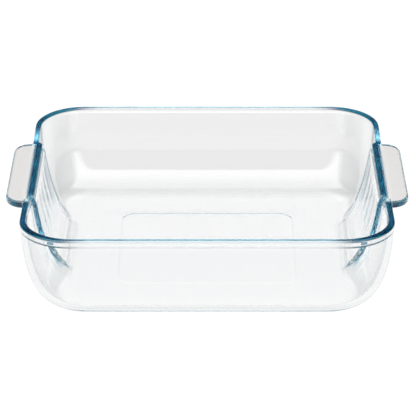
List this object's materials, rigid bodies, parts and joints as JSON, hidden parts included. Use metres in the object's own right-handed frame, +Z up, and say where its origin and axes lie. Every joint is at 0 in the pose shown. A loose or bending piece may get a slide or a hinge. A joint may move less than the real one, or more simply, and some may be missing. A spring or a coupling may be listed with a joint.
{
  "type": "glass baking dish",
  "caption": "Shallow, nearly square clear glass roasting dish with rounded corners and a flat tab handle at each end.",
  "frame": {"origin": "middle of the underside, on the surface the dish stands on", "axes": "+X from the left handle to the right handle, +Y to the back, +Z up; front is -Y"},
  "size_m": [0.252, 0.21, 0.058],
  "materials": {
    "clear_glass": "polished, nearly colourless",
    "rim_glass": "fire-polished, blue where it is seen edge on",
    "handle_glass": "polished, faintly blue"
  },
  "bodies": {
    "root": {"bowl": "clear_glass", "rim": "rim_glass", "handle_left": "handle_glass", "handle_right": "handle_glass"}
  },
  "joints": []
}
